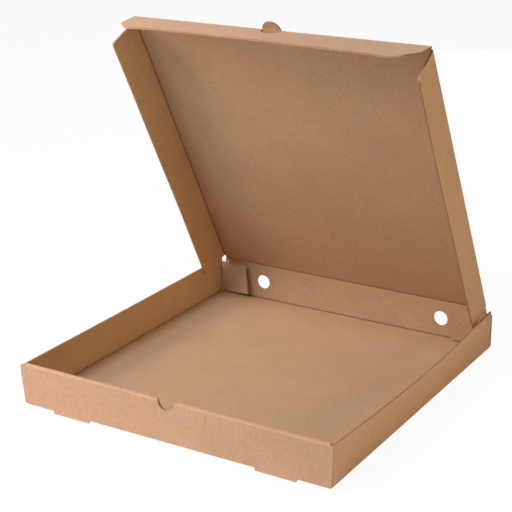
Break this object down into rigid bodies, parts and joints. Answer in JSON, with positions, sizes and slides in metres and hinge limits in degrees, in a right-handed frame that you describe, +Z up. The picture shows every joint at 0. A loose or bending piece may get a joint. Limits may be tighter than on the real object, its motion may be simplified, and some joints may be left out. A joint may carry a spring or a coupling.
{
  "type": "pizza box",
  "caption": "Shallow square box of kraft corrugated board, standing open, with a hinged lid, tuck flaps, a doubled front wall with a thumb notch, and vent holes at the back.",
  "frame": {"origin": "centre of the underside of the bottom panel", "axes": "+X to the right across the box, +Y towards the hinged back wall, +Z up"},
  "size_m": [0.3407, 0.348, 0.3523],
  "materials": {
    "tray_board": "bare kraft liner on fine corrugated board",
    "lid_board": "bare kraft liner on fine corrugated board"
  },
  "bodies": {
    "tray": {"tray": "tray_board"},
    "lid": {"lid": "lid_board"},
    "front_flap": {"lid_front_flap": "lid_board"},
    "left_flap": {"lid_left_flap": "lid_board"},
    "right_flap": {"lid_right_flap": "lid_board"}
  },
  "joints": [
    {"name": "lid_hinge", "type": "hinge", "parent": "tray", "child": "lid", "pos_m": [0, 0.1732, 0.0421], "axis": [-1, 0, 0], "range_deg": [-61.9, 118.1]},
    {"name": "front_flap_crease", "type": "hinge", "parent": "lid", "child": "front_flap", "pos_m": [0, 0.014, 0.34026], "axis": [-1, 0, 0], "range_deg": [-20, 38.2]},
    {"name": "left_flap_crease", "type": "hinge", "parent": "lid", "child": "left_flap", "pos_m": [-0.1577, 0.17249, 0.04172], "axis": [0, -0.471, 0.8821], "range_deg": [0, 89]},
    {"name": "right_flap_crease", "type": "hinge", "parent": "lid", "child": "right_flap", "pos_m": [0.1577, 0.17249, 0.04172], "axis": [0, 0.471, -0.8821], "range_deg": [0, 89]}
  ],
  "couplings": [
    {"joint": "front_flap_crease", "follows": "lid_hinge", "ratio": 0.3231}
  ]
}
